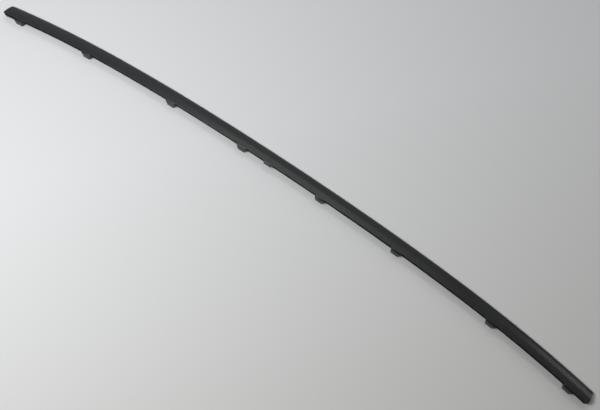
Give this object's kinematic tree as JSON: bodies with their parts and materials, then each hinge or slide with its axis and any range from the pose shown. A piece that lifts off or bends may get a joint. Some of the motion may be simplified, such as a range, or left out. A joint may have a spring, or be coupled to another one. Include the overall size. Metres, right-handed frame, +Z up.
{
  "type": "bumper trim strip",
  "caption": "Long bowed black plastic trim strip with a crowned face, a hollow ribbed back and push-in lugs along its inner edge.",
  "frame": {"origin": "centre of the bounding box in plan, on the floor the strip lies on", "axes": "+X along the straight line between the two tips, +Y towards the bulging side of the bow, away from the lugs, +Z up"},
  "size_m": [1.2916, 0.0699, 0.0137],
  "materials": {
    "black_plastic": "satin moulded black plastic with a fine even grain"
  },
  "bodies": {
    "root": {"trim_strip": "black_plastic"}
  },
  "joints": []
}
